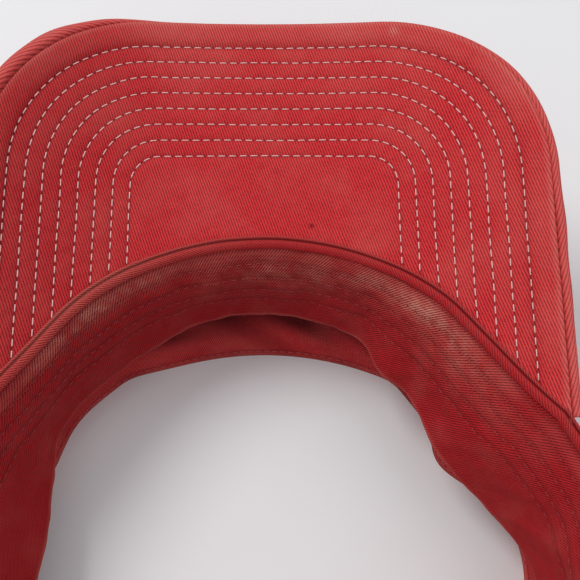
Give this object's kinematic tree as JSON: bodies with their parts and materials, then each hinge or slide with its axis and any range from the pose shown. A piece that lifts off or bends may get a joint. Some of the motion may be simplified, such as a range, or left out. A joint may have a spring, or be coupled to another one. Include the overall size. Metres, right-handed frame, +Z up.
{
  "type": "sun visor",
  "caption": "Open-top sun visor in washed twill: curved stitched brim, crown band, folded sweatband and a size strap in a brass clasp.",
  "frame": {"origin": "middle of the bounding box's underside, on the surface that the upturned crown edge stands on", "axes": "+Z up with the visor lying upside down, +Y out along the brim, +X towards the wearer's left"},
  "size_m": [0.2018, 0.2556, 0.0862],
  "materials": {
    "red_twill": "washed cotton twill, faded at folds and crests",
    "white_thread": "off-white cotton lockstitch thread, tinted pink",
    "red_thread": "self-coloured cotton thread",
    "brim_board": "matt moulded polyethylene",
    "buckram": "stiff open-weave interlining",
    "foam": "thin soft foam laminate",
    "brass": "antique satin brass"
  },
  "bodies": {
    "brim_and_front_band": {"brim_board": "brim_board", "brim_under_cover": "red_twill", "brim_upper_cover": "red_twill", "brim_stitch_row_1": "white_thread", "brim_stitch_row_2": "white_thread", "brim_stitch_row_3": "white_thread", "brim_stitch_row_4": "white_thread", "brim_stitch_row_5": "white_thread", "brim_stitch_row_6": "white_thread", "brim_stitch_row_7": "white_thread", "brim_stitch_row_8": "white_thread", "crown_shell_front": "red_twill", "crown_buckram_front": "buckram", "crown_lining_front": "red_twill", "crown_edge_stitch_front": "red_thread", "seam_binding_front": "red_twill", "sweatband_front": "red_twill", "sweatband_core_front": "foam", "sweatband_stitch_front": "red_thread"},
    "left_band": {"crown_shell_left": "red_twill", "crown_lining_left": "red_twill", "crown_edge_stitch_left": "red_thread", "seam_binding_left": "red_twill", "sweatband_left": "red_twill", "sweatband_core_left": "foam", "sweatband_stitch_left": "red_thread", "strap_keeper": "red_twill", "clasp_loop": "red_twill", "clasp_frame": "brass", "clasp_pin": "brass"},
    "right_band": {"crown_shell_right": "red_twill", "crown_lining_right": "red_twill", "crown_edge_stitch_right": "red_thread", "seam_binding_right": "red_twill", "sweatband_right": "red_twill", "sweatband_core_right": "foam", "sweatband_stitch_right": "red_thread", "size_strap": "red_twill", "strap_box_stitch": "red_thread"},
    "clasp_lever": {"clasp_lever": "brass"}
  },
  "joints": [
    {"name": "left_band_flex", "type": "hinge", "parent": "brim_and_front_band", "child": "left_band", "pos_m": [0.082, -0.02121, 0], "axis": [0, 0, 1], "range_deg": [-6, 6]},
    {"name": "right_band_flex", "type": "hinge", "parent": "brim_and_front_band", "child": "right_band", "pos_m": [-0.082, -0.02121, 0], "axis": [0, 0, 1], "range_deg": [-6, 6]},
    {"name": "clasp_lever_hinge", "type": "hinge", "parent": "left_band", "child": "clasp_lever", "pos_m": [0.01792, -0.12387, 0.02746], "axis": [0.0167, -0.1732, 0.9847], "range_deg": [0, 105]}
  ],
  "couplings": [
    {"joint": "right_band_flex", "follows": "left_band_flex", "ratio": -1}
  ]
}
